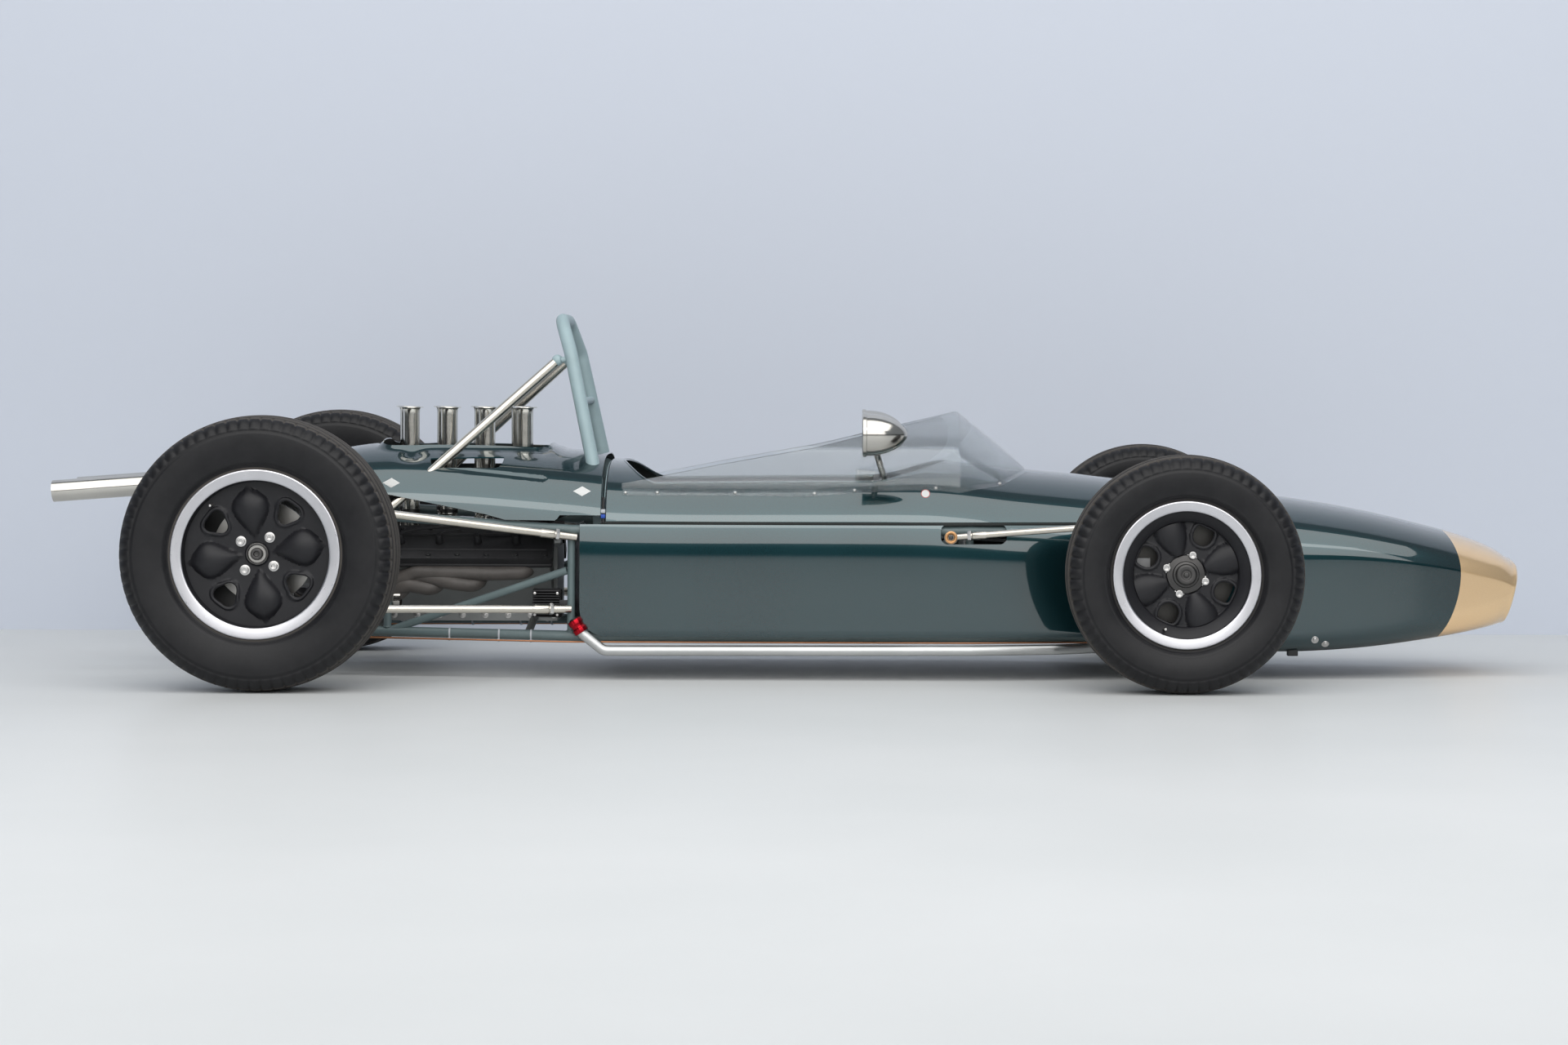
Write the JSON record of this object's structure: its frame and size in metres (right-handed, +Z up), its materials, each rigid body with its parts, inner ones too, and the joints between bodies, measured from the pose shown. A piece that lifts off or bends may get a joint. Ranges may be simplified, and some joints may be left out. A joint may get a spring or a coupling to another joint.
{
  "type": "open wheel racing car",
  "caption": "Single-seat open wheel racing car with a tubular frame, rear engine with intake trumpets, roll hoop, wraparound screen, turning wheels and linked steering.",
  "frame": {"origin": "on the ground under the middle of the car's overall length and width", "axes": "+X to the nose, +Y to the driver's left, +Z up"},
  "size_m": [3.8422, 1.5702, 0.9457],
  "materials": {
    "black_crackle": "black crackle",
    "black_iron": "heat-stained black",
    "body_green": "dark green metallic gloss, gold nose",
    "cast_alloy": "sand cast",
    "chrome": "polished",
    "damper": "black spring on plated body",
    "frame_paint": "grey green gloss",
    "leather": "stitched grip on drilled alloy spokes",
    "nickel": "warm nickel plate",
    "screen": "clear acrylic",
    "seat_cloth": "padded cloth",
    "seat_shell": "moulded glass fibre",
    "sheet_alloy": "brushed sheet",
    "steel": "machined",
    "tyre": "matt moulded rubber",
    "wheel_black": "satin black over cast magnesium, bare lips"
  },
  "bodies": {
    "chassis": {"cam_covers": "black_crackle", "cockpit_surround": "body_green", "coil_dampers": "damper", "column_bearing": "steel", "dashboard": "black_crackle", "engine_block": "cast_alloy", "engine_cover": "body_green", "exhaust_headers": "black_iron", "exhausts": "nickel", "frame_crossmembers": "frame_paint", "frame_side_left": "frame_paint", "frame_side_right": "frame_paint", "front_links": "nickel", "fuel_tanks": "sheet_alloy", "gear_lever": "steel", "gearbox": "cast_alloy", "ignition_box": "black_crackle", "intake_trumpets": "nickel", "mirrors": "chrome", "nose_cone": "body_green", "pedals": "steel", "radiator": "sheet_alloy", "rear_links": "nickel", "rear_uprights": "cast_alloy", "roll_hoop": "frame_paint", "roll_stays": "nickel", "seat": "seat_shell", "seat_pads": "seat_cloth", "side_panel_left": "body_green", "side_panel_right": "body_green", "steering_rack_housing": "cast_alloy", "undertray": "sheet_alloy", "water_pipes": "sheet_alloy", "windscreen": "screen"},
    "front_wheel_left": {"tyre_front_left": "tyre", "wheel_front_left": "wheel_black", "front_hub_left": "steel"},
    "front_wheel_right": {"tyre_front_right": "tyre", "wheel_front_right": "wheel_black", "front_hub_right": "steel"},
    "rear_wheel_left": {"tyre_rear_left": "tyre", "wheel_rear_left": "wheel_black", "half_shaft_left": "steel"},
    "rear_wheel_right": {"tyre_rear_right": "tyre", "wheel_rear_right": "wheel_black", "half_shaft_right": "steel"},
    "upright_left": {"front_upright_left": "cast_alloy"},
    "upright_right": {"front_upright_right": "cast_alloy"},
    "steering_wheel": {"steering_wheel": "leather"},
    "rack_bar": {"track_rods": "nickel"}
  },
  "joints": [
    {"name": "steer_left", "type": "hinge", "parent": "chassis", "child": "upright_left", "pos_m": [1.003, 0.577, 0.296], "axis": [0, 0, 1], "range_deg": [-20, 20]},
    {"name": "steer_right", "type": "hinge", "parent": "chassis", "child": "upright_right", "pos_m": [1.003, -0.577, 0.296], "axis": [0, 0, 1], "range_deg": [-20, 20]},
    {"name": "rack_slide", "type": "slide", "parent": "chassis", "child": "rack_bar", "axis": [0, 1, 0], "range_m": [-0.042, 0.042]},
    {"name": "steering_wheel_turn", "type": "hinge", "parent": "chassis", "child": "steering_wheel", "pos_m": [0.235, 0, 0.372], "axis": [-0.9984, 0, 0.0559], "range_deg": [-200, 200]},
    {"name": "front_wheel_left_spin", "type": "hinge", "parent": "upright_left", "child": "front_wheel_left", "pos_m": [1.003, 0.66, 0.296], "axis": [0, 1, 0], "continuous": true},
    {"name": "rear_wheel_left_spin", "type": "hinge", "parent": "chassis", "child": "rear_wheel_left", "pos_m": [-1.287, 0.6725, 0.341], "axis": [0, 1, 0], "continuous": true},
    {"name": "front_wheel_right_spin", "type": "hinge", "parent": "upright_right", "child": "front_wheel_right", "pos_m": [1.003, -0.66, 0.296], "axis": [0, 1, 0], "continuous": true},
    {"name": "rear_wheel_right_spin", "type": "hinge", "parent": "chassis", "child": "rear_wheel_right", "pos_m": [-1.287, -0.6725, 0.341], "axis": [0, 1, 0], "continuous": true}
  ],
  "couplings": [
    {"joint": "steer_right", "follows": "steer_left", "ratio": 1},
    {"joint": "rack_slide", "follows": "steer_left", "m_per_rad": 0.12},
    {"joint": "steering_wheel_turn", "follows": "steer_left", "ratio": 10}
  ]
}
